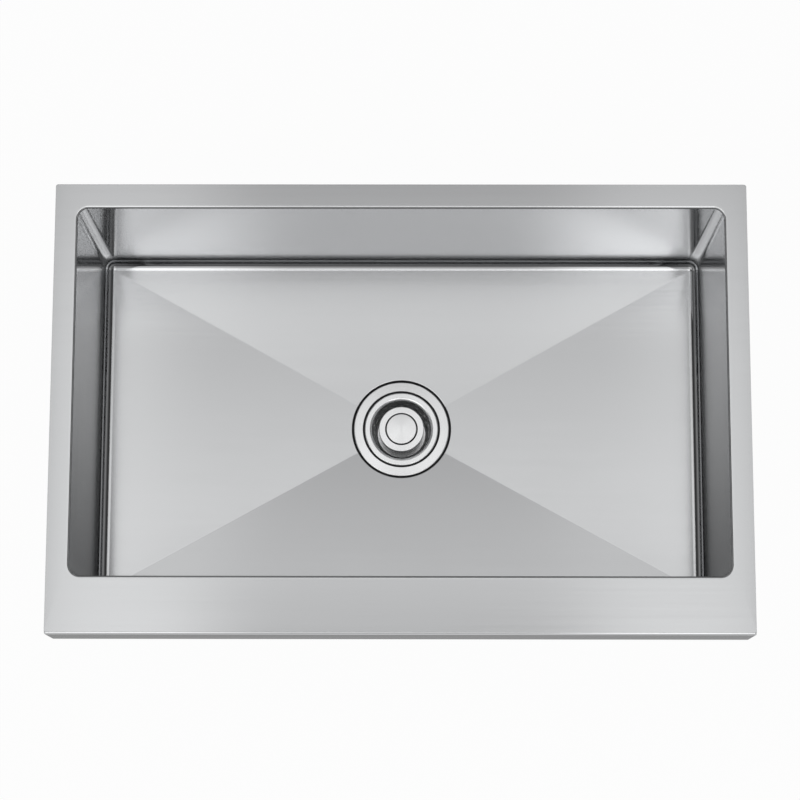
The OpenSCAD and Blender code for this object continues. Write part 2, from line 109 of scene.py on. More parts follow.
class Nodes:
    """The node tree of a material, lamp or world, with short calls that add a node and link it."""

    def __init__(self, owner, store="materials", output="Material"):
        self.owner = getattr(bpy.data, store).new(owner) if isinstance(owner, str) else owner
        self.owner.use_nodes = True
        self.tree = self.owner.node_tree
        self.tree.nodes.clear()
        self.output = self.tree.nodes.new("ShaderNodeOutput" + output)

    def put(self, socket, value):
        if isinstance(value, bpy.types.NodeSocket):
            self.tree.links.new(value, socket)
        else:
            socket.default_value = value

    def add(self, kind, out=0, settings=None, **inputs):
        """Adds a node and returns one output. Inputs go by their name, or as i0, i1 by their number."""
        node = self.tree.nodes.new("ShaderNode" + kind)
        for key, value in (settings or {}).items():
            setattr(node, key, value)
        for key, value in inputs.items():
            index = int(key[1:]) if key[0] == "i" and key[1:].isdigit() else key.replace("_", " ")
            self.put(node.inputs[index], value)
        return node.outputs[out]

    def math(self, operation, a, b=0.0, c=0.0):
        return self.add("Math", settings={"operation": operation}, i0=a, i1=b, i2=c)

    def times(self, product, *factors):
        for factor in factors:
            product = self.math("MULTIPLY", product, factor)
        return product

    def layered(self, base, *layers):
        """A base value with layers added to it, each a texture and its share."""
        for texture, share in layers:
            base = self.math("MULTIPLY_ADD", texture, share, base)
        return base

    def above(self, value, limit):
        return self.math("GREATER_THAN", value, limit)

    def below(self, value, limit):
        return self.math("LESS_THAN", value, limit)

    def length(self, a, b):
        return self.math("SQRT", self.math("ADD", self.times(a, a), self.times(b, b)))

    def scaled(self, vector, scale):
        return self.add("VectorMath", settings={"operation": "MULTIPLY"}, i0=vector, i1=scale)

    def grey(self, value):
        return self.add("CombineXYZ", i0=value, i1=value, i2=value)

    def ramp(self, value, low, high, to_low=0.0, to_high=1.0):
        return self.add("MapRange", settings={"interpolation_type": "SMOOTHSTEP"}, Value=value,
                        From_Min=low, From_Max=high, To_Min=to_low, To_Max=to_high)

    def band(self, value, rise, fall):
        """One between two soft edges, and zero beyond them."""
        return self.times(self.ramp(value, *rise), self.ramp(value, *fall, 1.0, 0.0))

    def mix(self, factor, a, b):
        return self.add("Mix", 2, {"data_type": "RGBA"}, i0=factor, i6=a, i7=b)

    def mix_vector(self, factor, a, b):
        return self.add("Mix", 1, {"data_type": "VECTOR"}, i0=factor, i4=a, i5=b)

    def noise(self, vector, scale, detail=2.0, roughness=0.5):
        return self.add("TexNoise", Vector=vector, Scale=scale, Detail=detail, Roughness=roughness)

    def place(self):
        return self.add("TexCoord", "Object")

    def facing(self):
        return self.split(self.add("NewGeometry", "Normal"))

    def split(self, vector):
        node = self.tree.nodes.new("ShaderNodeSeparateXYZ")
        self.put(node.inputs[0], vector)
        return node.outputs

    def bump(self, height, strength, distance):
        return self.add("Bump", Height=height, Strength=strength, Distance=distance)

    def finish(self, shader):
        self.tree.links.new(shader, self.output.inputs["Surface"])
        return self.owner


# Finishes

worn = {node: [slot.material.name.split(".")[0] for slot in node.material_slots]
        for node in frame["nodes"].values()}
for imported in list(bpy.data.materials):
    bpy.data.materials.remove(imported)

STEEL = (0.600, 0.606, 0.614)
SHEET_ROUGHNESS = 0.17
SHEET_GRAIN = 0.90
GRAIN_ALONG = 9.0
GRAIN_ACROSS = 900.0
BRUSH_DEPTH = 0.02 * MM

# How far a face leans from level, as a sine: where it stops being flat, where a bend starts and
# ends, and where the bend gets painted shade
FLAT_LEAN = 0.12
BEND_START, BEND_END = (0.20, 0.36), (0.97, 0.998)
COVE_SHADE_START, COVE_SHADE_END = (0.22, 0.36), (0.80, 0.95)
BEND_POLISH = 0.35
COVE_PAINTED_SHADE = 0.55

# Painted highlight along the foot of the back cove, by how far it faces forward
RIDGE_START, RIDGE_END = (0.056, 0.075), (0.20, 0.32)
RIDGE_PAINTED_HIGHLIGHT = 0.50

# Shades that were set to match the photo's tones
# Painted shade on the floor's front facet, and painted light on its side facets towards the front
FRONT_FACET_PAINTED_SHADE = 0.11
SIDE_FACET_PAINTED_LIGHT = 0.07
SIDE_FACET_LIGHT_START = -0.15
# Painted shade on the end walls, deepest at their front
END_WALL_PAINTED_SHADE = 0.68
END_WALL_SHADE_SPAN = (-1.1 * HALF_Y, 0.7 * HALF_Y)
# Painted shade that darkens the apron's face
FACE_PAINTED_SHADE = 0.74

COAT_TOP = (Z_DECK - 22 * MM, Z_DECK - 16 * MM)
COAT_HOLE = (62 * MM, 66 * MM)
COAT_DRIFT = 6 * MM

TURNED = (0.87, 0.875, 0.88)
TURNED_ROUGHNESS = 0.24
# Where the painted shade in the gap round the strainer's flange ends
GAP_R = RECESS_R + 0.95 * MM
GAP_EDGE = 0.5 * MM


def painted_facet_shade(nodes, place, lean):
    """Painted shade and light on the floor's facets: the front one darker, the side ones lighter towards the
    front.
    """
    x, y, z = nodes.split(place)
    aside = nodes.math("DIVIDE", nodes.math("ABSOLUTE", x), HALF_X)
    ahead = nodes.math("DIVIDE", y, -HALF_Y)
    front = nodes.above(ahead, aside)
    back = nodes.above(nodes.times(ahead, -1.0), aside)
    side = nodes.ramp(ahead, SIDE_FACET_LIGHT_START, 1.0, 0.0, SIDE_FACET_PAINTED_LIGHT)
    shade = nodes.math("SUBTRACT", side, nodes.times(front, nodes.math("ADD", side, FRONT_FACET_PAINTED_SHADE)))
    inside = nodes.below(nodes.math("ABSOLUTE", y), BOWL_D / 2)
    low = nodes.below(z, Z_FLOOR + 0.5 * MM)
    flat = nodes.below(lean, FLAT_LEAN)
    return nodes.times(shade, nodes.math("SUBTRACT", 1.0, back), low, flat, inside)


def end_wall_painted_shade(nodes, place):
    """Edge tint of the end walls, lower towards the front: painted shade that darkens them there at a low
    angle.
    """
    x, y, z = nodes.split(place)
    beside = nodes.above(nodes.math("ABSOLUTE", x), HALF_X + 2 * MM)
    under_deck = nodes.below(z, Z_DECK - BEND_OUTER)
    shade = nodes.ramp(y, *END_WALL_SHADE_SPAN, END_WALL_PAINTED_SHADE, 0.0)
    return nodes.grey(nodes.math("SUBTRACT", 1.0, nodes.times(beside, under_deck, shade)))


def brushed_metal(nodes, roughness, grain, bends=1.0, **more):
    """Satin sheet, brushed along its bends and smoother where it is bent, with painted shade in its coves
    and a painted highlight at the foot of the back cove.
    """
    place = nodes.place()
    facing = nodes.facing()
    lean = nodes.length(facing[0], facing[1])
    upright = nodes.above(lean, FLAT_LEAN)
    level_grain = nodes.scaled(place, (GRAIN_ALONG, GRAIN_ACROSS, GRAIN_ACROSS))
    wall_grain = nodes.scaled(place, (GRAIN_ALONG, GRAIN_ALONG, GRAIN_ACROSS))
    grain_place = nodes.mix_vector(upright, level_grain, wall_grain)
    fine = nodes.noise(grain_place, 1.6, 3.0, 0.6)
    broad = nodes.noise(grain_place, 0.22, 2.0, 0.5)
    cloud = nodes.noise(place, 5.0, 3.0, 0.55)
    rough = nodes.layered(roughness - 0.07, (cloud, 0.03), (fine, 0.05), (broad, 0.05))
    bent = nodes.band(lean, BEND_START, BEND_END)
    rough = nodes.times(rough, nodes.layered(1.0, (bent, BEND_POLISH - 1.0)))
    tone = nodes.layered(0.945, (cloud, 0.02), (broad, 0.05), (fine, 0.05))
    # Painted shade and light on the floor's facets
    tone = nodes.math("ADD", tone, painted_facet_shade(nodes, place, lean))
    # Painted shade in the coves, which makes them darker
    cove_shade = nodes.band(lean, COVE_SHADE_START, COVE_SHADE_END)
    # Painted highlight at the foot of the back cove, a lighter base colour
    ridge = nodes.band(nodes.times(facing[1], -1.0), RIDGE_START, RIDGE_END)
    tone = nodes.times(tone, nodes.layered(1.0, (cove_shade, -COVE_PAINTED_SHADE * bends)),
                       nodes.layered(1.0, (ridge, RIDGE_PAINTED_HIGHLIGHT * bends)))
    across = nodes.mix_vector(upright, (0.0, 1.0, 0.0), (0.0, 0.0, 1.0))
    return nodes.add("BsdfPrincipled", Base_Color=nodes.scaled(STEEL, nodes.grey(tone)), Metallic=1.0,
                     Roughness=rough, Anisotropic=grain, Normal=nodes.bump(fine, 0.12, BRUSH_DEPTH),
                     Tangent=across, **more)


def ring_line(nodes, near, far, low, high):
    """One between two radii round the Z axis and two heights, and zero elsewhere."""
    x, y, z = nodes.split(nodes.place())
    radius = nodes.length(x, y)
    return nodes.times(nodes.above(radius, near), nodes.below(radius, far), nodes.above(z, low),
                       nodes.ramp(z, high - GAP_EDGE, high, 1.0, 0.0))


def with_painted_gap_shade(nodes, metal, where):
    """Painted shade: a dark matte shader mixed into the gaps, where shade falls."""
    gap_shade = nodes.add("BsdfPrincipled", Base_Color=(0.030, 0.030, 0.032, 1.0), Roughness=0.75)
    return nodes.add("MixShader", i0=where, i1=metal, i2=gap_shade)


def brushed_sheet():
    """The bowl's skin, with painted shade in the gap round the strainer's flange and on the end walls'
    front.
    """
    nodes = Nodes("brushed_sheet")
    metal = brushed_metal(nodes, SHEET_ROUGHNESS, SHEET_GRAIN,
                          # The edge tint paints shade on the end walls towards the front
                          Specular_Tint=end_wall_painted_shade(nodes, nodes.place()))
    return nodes.finish(with_painted_gap_shade(nodes, metal, ring_line(nodes, 0.0, GAP_R, 0.0, Z_FLOOR)))


def apron_sheet():
    """The same sheet with a low edge tint all over, which is painted shade that darkens its face, and
    without the painted bands at its bends.
    """
    nodes = Nodes("apron_sheet")
    # A low edge tint, which paints shade on the face
    edge = 1.0 - FACE_PAINTED_SHADE
    return nodes.finish(brushed_metal(nodes, SHEET_ROUGHNESS, SHEET_GRAIN, 0.0,
                                      Specular_Tint=(edge, edge, edge, 1.0)))


def undercoat():
    """Sprayed grey sound coat on the outside of the bowl; the flanges above it stay bare."""
    nodes = Nodes("undercoat")
    bare = brushed_metal(nodes, 0.32, 0.4)
    place = nodes.place()
    x, y, z = nodes.split(place)
    drift = nodes.layered(-COAT_DRIFT / 2, (nodes.noise(place, 60.0, 3.0), COAT_DRIFT))
    under_flange = nodes.ramp(nodes.math("ADD", z, drift), *COAT_TOP, 1.0, 0.0)
    off_drain = nodes.ramp(nodes.math("ADD", nodes.length(x, y), drift), *COAT_HOLE)
    speckle = nodes.noise(place, 900.0, 2.0, 0.6)
    pebble = nodes.noise(place, 260.0, 3.0, 0.6)
    paint = nodes.mix(speckle, (0.215, 0.220, 0.225, 1.0), (0.275, 0.280, 0.285, 1.0))
    coat = nodes.add("BsdfPrincipled", Base_Color=paint, Metallic=0.0,
                     Roughness=nodes.layered(0.66, (pebble, 0.2)),
                     Normal=nodes.bump(nodes.layered(pebble, (speckle, 0.4)), 0.5, 0.35 * MM))
    return nodes.finish(nodes.add("MixShader", i0=nodes.times(under_flange, off_drain), i1=bare, i2=coat))


def turned_metal(nodes, color, roughness, grain=0.6, ring_scale=2600.0, ring_bump=0.25):
    """Lathe-turned metal, with fine rings round the Z axis."""
    place = nodes.place()
    x, y, z = nodes.split(place)
    along = nodes.math("ADD", nodes.length(x, y), z)
    rings = nodes.noise(nodes.add("CombineXYZ", i0=along, i1=0.0, i2=0.0), ring_scale, 3.0, 0.7)
    wide = nodes.noise(nodes.add("CombineXYZ", i0=along, i1=0.3, i2=0.0), ring_scale / 7, 2.0, 0.6)
    cloud = nodes.noise(place, 40.0, 2.0)
    tone = nodes.layered(0.90, (cloud, 0.03), (wide, 0.08), (rings, 0.08))
    upright = nodes.below(nodes.math("ABSOLUTE", nodes.facing()[2]), 0.5)
    outward = nodes.add("CombineXYZ", i0=x, i1=y, i2=0.0)
    return nodes.add("BsdfPrincipled", Base_Color=nodes.scaled(color, nodes.grey(tone)), Metallic=1.0,
                     Roughness=nodes.layered(roughness - 0.08, (wide, 0.06), (rings, 0.10)),
                     Anisotropic=grain,
                     Normal=nodes.bump(nodes.math("ADD", rings, wide), ring_bump, BRUSH_DEPTH),
                     Tangent=nodes.mix_vector(upright, outward, (0.0, 0.0, 1.0)))


def turned_steel(name, *look):
    nodes = Nodes(name)
    return nodes.finish(turned_metal(nodes, *look))


def lined_steel(name, near, far, low, high):
    """Turned steel with a painted shade line in the gap round it."""
    nodes = Nodes(name)
    metal = turned_metal(nodes, TURNED, TURNED_ROUGHNESS)
    return nodes.finish(with_painted_gap_shade(nodes, metal, ring_line(nodes, near, far, low, high)))


def cast_nut():
    """Plated zinc casting: dull, with a fine pebbled skin."""
    nodes = Nodes("cast_nut")
    place = nodes.place()
    skin = nodes.noise(place, 900.0, 3.0, 0.6)
    patch = nodes.noise(place, 45.0, 3.0, 0.55)
    tone = nodes.grey(nodes.layered(0.88, (skin, 0.06), (patch, 0.16)))
    return nodes.finish(nodes.add(
        "BsdfPrincipled", Base_Color=nodes.scaled((0.55, 0.55, 0.54), tone), Metallic=1.0,
        Roughness=nodes.layered(0.30, (skin, 0.10), (patch, 0.16)),
        Normal=nodes.bump(skin, 0.35, 0.06 * MM)))


def rubber(name, dark, light, grain, grain_depth):
    """Moulded rubber with a fine skin, and dust that dulls and lightens it in patches."""
    nodes = Nodes(name)
    place = nodes.place()
    skin = nodes.noise(place, grain, 3.0, 0.65)
    dust = nodes.noise(place, 30.0, 4.0, 0.6)
    return nodes.finish(nodes.add(
        "BsdfPrincipled", Base_Color=nodes.mix(nodes.layered(0.0, (skin, 0.3), (dust, 0.7)), dark, light),
        Roughness=nodes.layered(0.66, (dust, 0.14)), Specular_IOR_Level=0.35,
        Normal=nodes.bump(skin, 0.5, grain_depth)))


def fibre():
    """Pressed vulcanised fibre, with short strands lying flat in it."""
    nodes = Nodes("fibre")
    place = nodes.place()
    lying = nodes.scaled(place, (1.0, 1.6, 3.0))
    strands = nodes.add("TexVoronoi", "Distance", Vector=lying, Scale=900.0)
    felt = nodes.noise(place, 300.0, 4.0, 0.6)
    color = nodes.mix(nodes.layered(0.0, (felt, 0.5), (strands, 0.5)),
                      (0.27, 0.16, 0.08, 1.0), (0.46, 0.32, 0.19, 1.0))
    return nodes.finish(nodes.add("BsdfPrincipled", Base_Color=color, Roughness=0.82,
                                  Normal=nodes.bump(felt, 0.5, 0.05 * MM)))


def nylon():
    """Moulded nylon, with faint flow marks."""
    nodes = Nodes("nylon")
    flow = nodes.noise(nodes.place(), 120.0, 2.0)
    color = nodes.mix(flow, (0.74, 0.73, 0.69, 1.0), (0.82, 0.81, 0.78, 1.0))
    return nodes.finish(nodes.add("BsdfPrincipled", Base_Color=color, Subsurface_Weight=0.2,
                                  Roughness=nodes.layered(0.36, (flow, 0.1)),
                                  Normal=nodes.bump(flow, 0.1, 0.03 * MM)))


FINISHES = {
    "brushed_sheet": brushed_sheet(),
    "turned_steel": turned_steel("turned_steel", TURNED, TURNED_ROUGHNESS),
    "tube_steel": turned_steel("tube_steel", (0.66, 0.665, 0.67), 0.20, 0.3, 1200.0, 0.1),
    "stem_steel": turned_steel("stem_steel", (0.58, 0.585, 0.59), 0.30, 0.4, 3000.0, 0.2),
    "cast_nut": cast_nut(),
    "pad_rubber": rubber("pad_rubber", (0.020, 0.020, 0.021, 1.0), (0.045, 0.045, 0.046, 1.0),
                         700.0, 0.12 * MM),
    "seal_rubber": rubber("seal_rubber", (0.016, 0.016, 0.017, 1.0), (0.030, 0.030, 0.031, 1.0),
                          1500.0, 0.03 * MM),
    "fibre": fibre(),
    "nylon": nylon(),
}
UNDERCOAT = undercoat()
APRON_SHEET = apron_sheet()
# Painted shade lines: in the groove under the basket's rim, in the handle's well under the knob and round
# the knob's edge
STRAINER_STEEL = lined_steel("strainer_steel", 0.0, 46.2 * MM, Z_FLANGE - 3.6 * MM, Z_FLANGE - 0.5 * MM)
HANDLE_STEEL = lined_steel("handle_steel", 0.0, KNOB_R + 1.0 * MM, 0.0, Z_DECK)
KNOB_STEEL = lined_steel("knob_steel", KNOB_R - 0.7 * MM, Z_DECK, 0.0, Z_FLANGE + 1.4 * MM)

for node, names in worn.items():
    for slot, name in zip(node.material_slots, names):
        slot.material = FINISHES[name]


# Mesh helpers

EDGE_BREAK = 0.25 * MM


def new_mesh():
    """An empty mesh with a place for the weights of the edges that a Bevel modifier breaks."""
    bm = bmesh.new()
    bm.edges.layers.float.new("bevel_weight_edge")
    return bm


def weight_edges(bm, edges):
    layer = bm.edges.layers.float["bevel_weight_edge"]
    for edge in edges:
        edge[layer] = 1.0


def verts_in(geom):
    return [g for g in geom if isinstance(g, bmesh.types.BMVert)]


def edges_in(geom):
    return [g for g in geom if isinstance(g, bmesh.types.BMEdge)]


def sized(middle, size):
    """Matrix that stretches a unit shape to a size and puts it in place."""
    return Matrix.Translation(middle) @ Matrix.Diagonal((*size, 1))


def bevel(bm, geom, offset, segments, affect="EDGES"):
    return bmesh.ops.bevel(bm, geom=geom, offset=offset, offset_type="OFFSET", segments=segments,
                           profile=0.5, affect=affect, material=-1, clamp_overlap=False)


def face_outwards(bm, probe, direction):
    """Makes the faces agree, with the one nearest to the probe point facing the direction."""
    bmesh.ops.recalc_face_normals(bm, faces=bm.faces)
    bm.normal_update()
    nearest = min(bm.faces, key=lambda f: (f.calc_center_median() - Vector(probe)).length)
    if nearest.normal.dot(Vector(direction)) < 0:
        bmesh.ops.reverse_faces(bm, faces=bm.faces)
        bm.normal_update()


def make_piece(bm, name, slot, node, body="sink", finishes=None, sharp=40):
    """A smooth piece that stands for a node, sharp at edges that turn by more degrees than given."""
    for face in bm.faces:
        face.smooth = True
    for edge in bm.edges:
        if len(edge.link_faces) == 2 and edge.calc_face_angle(0) > math.radians(sharp):
            edge.smooth = False
    mesh = bpy.data.meshes.new(name)
    bm.to_mesh(mesh)
    bm.free()
    piece = bpy.data.objects.new(name, mesh)
    bpy.context.scene.collection.objects.link(piece)
    for finish in finishes or [FINISHES[slot]]:
        mesh.materials.append(finish)
    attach(piece, body)
    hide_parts(node)
    return piece


def even_normals(piece):
    even = piece.modifiers.new("even", "WEIGHTED_NORMAL")
    even.keep_sharp = True


def sheet_modifiers(piece, material_offset):
    """Gives folded sheet its thickness, behind the modelled skin, and breaks its cut edges."""
    wall = piece.modifiers.new("sheet", "SOLIDIFY")
    wall.thickness = SHEET
    wall.offset = -1
    wall.use_even_offset = True
    wall.use_quality_normals = True
    wall.material_offset = material_offset
    edges = piece.modifiers.new("edges", "BEVEL")
    edges.limit_method = "WEIGHT"
    edges.width = EDGE_BREAK
    edges.segments = 2
    even_normals(piece)


# Bowl

SIDE_STEPS = 16
END_STEPS = 34
RECESS_EDGE_R = 1.6 * MM
RECESS_FOOT_R = 1.0 * MM
CREASE_R = 1.2 * MM
RECESS_NEAR = 0.4 * MM


def bearing(v):
    """Direction of a vertex as seen from the drain's axis."""
    return math.atan2(v.co.y, v.co.x)


def facet_height(x, y):
    """Height of the creased floor, which falls in four facets to the drain's axis."""
    return Z_APEX + FLOOR_FALL * max(abs(x) / HALF_X, abs(y) / HALF_Y)


def bowl_walls(bm):
    """An open box with round corners, and coves round its floor."""
    height = Z_DECK - Z_FLOOR
    bmesh.ops.create_cube(bm, size=1, matrix=sized((0, 0, (Z_FLOOR + Z_DECK) / 2), (BOWL_W, BOWL_D, height)))
    bm.normal_update()
    bmesh.ops.delete(bm, geom=[f for f in bm.faces if f.normal.z > 0.5], context="FACES_ONLY")
    bevel(bm, [e for e in bm.edges if not e.is_boundary], CORNER_R, segments=12)


def bowl_mouth(bm):
    """A strip of deck all round the mouth, and the bend between it and the walls."""
    mouth = [e for e in bm.edges if e.is_boundary]
    for v in verts_in(bmesh.ops.extrude_edge_only(bm, edges=mouth)["geom"]):
        middle = Vector((math.copysign(HALF_X, v.co.x), math.copysign(HALF_Y, v.co.y), v.co.z))
        v.co = middle + (v.co - middle).normalized() * (CORNER_R + 1.6 * BEND_OUTER)
    bevel(bm, mouth, BEND_OUTER, segments=6)


def deck_plate(bm):
    """The plate round the strip; its front edge, where the apron is welded on, stays unbroken."""
    plate = sized((0, (SEAM_Y + Y_BACK) / 2, Z_DECK), (2 * HALF_W, Y_BACK - SEAM_Y, 1))
    corners = bmesh.ops.create_grid(bm, x_segments=1, y_segments=1, size=0.5, matrix=plate)["verts"]
    bevel(bm, [v for v in corners if v.co.y > 0], RIM_CORNER_R, segments=5, affect="VERTICES")
    blank = next(f for f in bm.faces if len(f.verts) > 4 and f.calc_center_median().z > Z_DECK - MM)
    outline = list(blank.edges)
    weight_edges(bm, [e for e in outline if max(v.co.y for v in e.verts) > SEAM_Y + MM])
    bmesh.ops.delete(bm, geom=[blank], context="FACES_ONLY")
    lip = [e for e in bm.edges if e.is_boundary and e.verts[0].co.z > Z_DECK - NEAR]
    bmesh.ops.triangle_fill(bm, use_beauty=True, use_dissolve=False, edges=outline + lip, normal=(0, 0, 1))


def recess_ring(bm):
    """Circle round the drain with a vertex on each of the four creases."""
    crease = math.atan2(HALF_Y, HALF_X)
    tip = bm.verts.new((RECESS_R * math.cos(-crease), RECESS_R * math.sin(-crease), 0))
    ring = [tip]
    for sweep, steps in ((2 * crease, SIDE_STEPS), (math.pi - 2 * crease, END_STEPS)) * 2:
        before = set(bm.verts)
        last = bmesh.ops.spin(bm, geom=[tip], cent=(0, 0, 0), axis=(0, 0, 1), angle=sweep,
                              steps=steps)["geom_last"]
        tip = verts_in(last)[0]
        ring += [v for v in bm.verts if v not in before]
    bmesh.ops.remove_doubles(bm, verts=ring, dist=NEAR)
    ring = [v for v in ring if v.is_valid]
    for v in ring:
        v.co.z = facet_height(v.co.x, v.co.y)
    return sorted(ring, key=bearing)


def floor_facets(bm):
    """Four flat facets from the coves to the recess; returns their outer corners and the ring."""
    bm.normal_update()
    floor = next(f for f in bm.faces if abs(f.normal.z) > 0.99
                 and f.calc_center_median().z < Z_FLOOR + MM and f.calc_area() > 0.1)
    feet = sorted(floor.verts, key=bearing)
    bmesh.ops.delete(bm, geom=[floor], context="FACES_ONLY")
    ring = recess_ring(bm)
    marks = [min(range(len(ring)), key=lambda i: abs(bearing(ring[i]) - bearing(foot))) for foot in feet]
    for i in range(4):
        first, last = marks[i], marks[(i + 1) % 4]
        if last < first:
            last += len(ring)
        arc = [ring[k % len(ring)] for k in range(first, last + 1)]
        bm.faces.new([feet[i], feet[(i + 1) % 4]] + arc[::-1])
    return feet, ring


def recess(bm, ring):
    """The recess's wall below the ring, and its pan as far as the drain hole."""
    ring_edges = [e for e in bm.edges if e.verts[0] in ring and e.verts[1] in ring]
    wall = bmesh.ops.extrude_edge_only(bm, edges=ring_edges)["geom"]
    foot = verts_in(wall)
    for v in foot:
        v.co.z = Z_RECESS
    foot_edges = [e for e in edges_in(wall) if all(v in foot for v in e.verts)]
    for v in verts_in(bmesh.ops.extrude_edge_only(bm, edges=foot_edges)["geom"]):
        v.co.xy = v.co.xy * (SINK_HOLE_R / RECESS_R)


def round_recess(bm):
    """Rounds the recess's upper edge and then its foot."""
    def circle(at_height):
        return [e for e in bm.edges if not e.is_boundary
                and all(abs(v.co.xy.length - RECESS_R) < RECESS_NEAR and at_height(v) for v in e.verts)]

    edge = [e for e in circle(lambda v: v.co.z > Z_APEX - MM) if e.calc_face_angle(0) > 0.8]
    bevel(bm, edge, RECESS_EDGE_R, segments=4)
    bevel(bm, circle(lambda v: abs(v.co.z - Z_RECESS) < NEAR), RECESS_FOOT_R, segments=3)


def round_creases(bm, feet):
    """Rounds the four creases, after the recess, because their rounding meets its edge."""
    creases = [e for e in bm.edges if any(v in feet for v in e.verts)
               and min(v.co.xy.length for v in e.verts) < RECESS_R + 3 * MM]
    bevel(bm, creases, CREASE_R, segments=2)
    bm.normal_update()


def basin():
    """The bowl with its rim and deck as one skin, which the modifiers make into sheet."""
    bm = new_mesh()
    bowl_walls(bm)
    bowl_mouth(bm)
    deck_plate(bm)
    feet, ring = floor_facets(bm)
    recess(bm, ring)
    face_outwards(bm, (0, HALF_Y, Z_FLOOR), (0, 0, 1))
    round_recess(bm)
    round_creases(bm, feet)
    piece = make_piece(bm, "folded_bowl", "brushed_sheet", "bowl",
                       finishes=[FINISHES["brushed_sheet"], UNDERCOAT])
    sheet_modifiers(piece, 1)


# Apron

APRON_END_R = 1.6 * MM


def end_path(bm, side, z_low):
    """The folded strip's vertices at one end, in order from the lower return's back edge."""
    def at_end(v):
        return abs(v.co.x - side) < NEAR

    path = [min((v for v in bm.verts if at_end(v) and v.co.z < z_low + NEAR), key=lambda v: -v.co.y)]
    while True:
        beyond = [e.other_vert(path[-1]) for e in path[-1].link_edges]
        beyond = [v for v in beyond if at_end(v) and v not in path]
        if not beyond:
            return path
        path.append(beyond[0])


def apron():
    """A folded strip of lower return, face and deck edge, with a plate across either end."""
    bm = new_mesh()
    z_low = Z_DECK - APRON_H
    end_y = APRON_HIGH.y
    chain = [bm.verts.new((-HALF_W, Y_FRONT + APRON_RETURN, z_low))]
    for y, z in ((Y_FRONT, z_low), (Y_FRONT, Z_DECK), (SEAM_Y, Z_DECK)):
        chain.append(bm.verts.new((-HALF_W, y, z)))
        bm.edges.new(chain[-2:])
    bevel(bm, chain[1:3], BEND_OUTER, segments=6, affect="VERTICES")
    grown = bmesh.ops.extrude_edge_only(bm, edges=list(bm.edges))["geom"]
    bmesh.ops.translate(bm, verts=verts_in(grown), vec=(2 * HALF_W, 0, 0))
    for side in (-HALF_W, HALF_W):
        path = end_path(bm, side, z_low)
        plate = ((SEAM_Y, Z_DECK - SHEET), (end_y, Z_DECK - SHEET), (end_y, z_low))
        bm.faces.new(path + [bm.verts.new((side, y, z)) for y, z in plate])
    face_outwards(bm, (0, Y_FRONT, Z_DECK - APRON_H / 2), (0, -1, 0))
    ends = [e for e in bm.edges if len(e.link_faces) == 2 and abs(abs(e.verts[0].co.x) - HALF_W) < NEAR
            and abs(e.verts[0].co.x - e.verts[1].co.x) < NEAR]
    bevel(bm, ends, APRON_END_R, segments=4)
    weight_edges(bm, [e for e in bm.edges if e.is_boundary and e.verts[0].co.z < Z_DECK - 2 * SHEET])
    piece = make_piece(bm, "apron_panel", "brushed_sheet", "apron", finishes=[APRON_SHEET])
    sheet_modifiers(piece, 0)


# Turned pieces of the drain, in millimetres: an outline's points are a radius, a height and the
# radius that rounds the corner there

THREAD_PITCH = 2.0
THREAD_ROOT = 0.1
THREAD_WIDTH = 0.9 * THREAD_PITCH
LUG_HALF_ANGLE = 0.12


def profile(bm, points, closed=True):
    """A wire through the points of an outline, with its corners rounded."""
    made = set(bm.verts)
    line = [bm.verts.new((r * MM, 0, z * MM)) for r, z, _ in points]
    for a, b in zip(line, line[1:] + line[:1] if closed else line[1:]):
        bm.edges.new((a, b))
    for v, (_, _, corner) in zip(line, points):
        if corner:
            bevel(bm, [v], corner * MM, segments=5, affect="VERTICES")
    return [v for v in bm.verts if v not in made] + [e for e in bm.edges if e.verts[0] not in made]


def turn(bm, wire, steps=128):
    """Turns a wire round the Z axis into a closed skin."""
    bmesh.ops.spin(bm, geom=wire, cent=(0, 0, 0), axis=(0, 0, 1), angle=2 * math.pi, steps=steps,
                   use_merge=True)
    bmesh.ops.remove_doubles(bm, verts=bm.verts, dist=0.002 * MM)


def thread(bm, core, crest, low, high, steps):
    """A ridge that winds up round a turned wall, closed at both ends."""
    section = ((core, low), (crest, low + THREAD_WIDTH / 2), (core, low + THREAD_WIDTH))
    ridge = [bm.verts.new((r * MM, 0, z * MM)) for r, z in section]
    loop = [bm.edges.new(pair) for pair in zip(ridge, ridge[1:] + ridge[:1])]
    turns = (high - low) / THREAD_PITCH - 1
    count = round(steps * turns)
    last = bmesh.ops.spin(bm, geom=ridge + loop, cent=(0, 0, 0), axis=(0, 0, 1),
                          angle=2 * math.pi * turns, steps=count,
                          dvec=(0, 0, THREAD_PITCH * MM * turns / count))["geom_last"]
    bm.faces.new(ridge)
    bm.faces.new(verts_in(last))


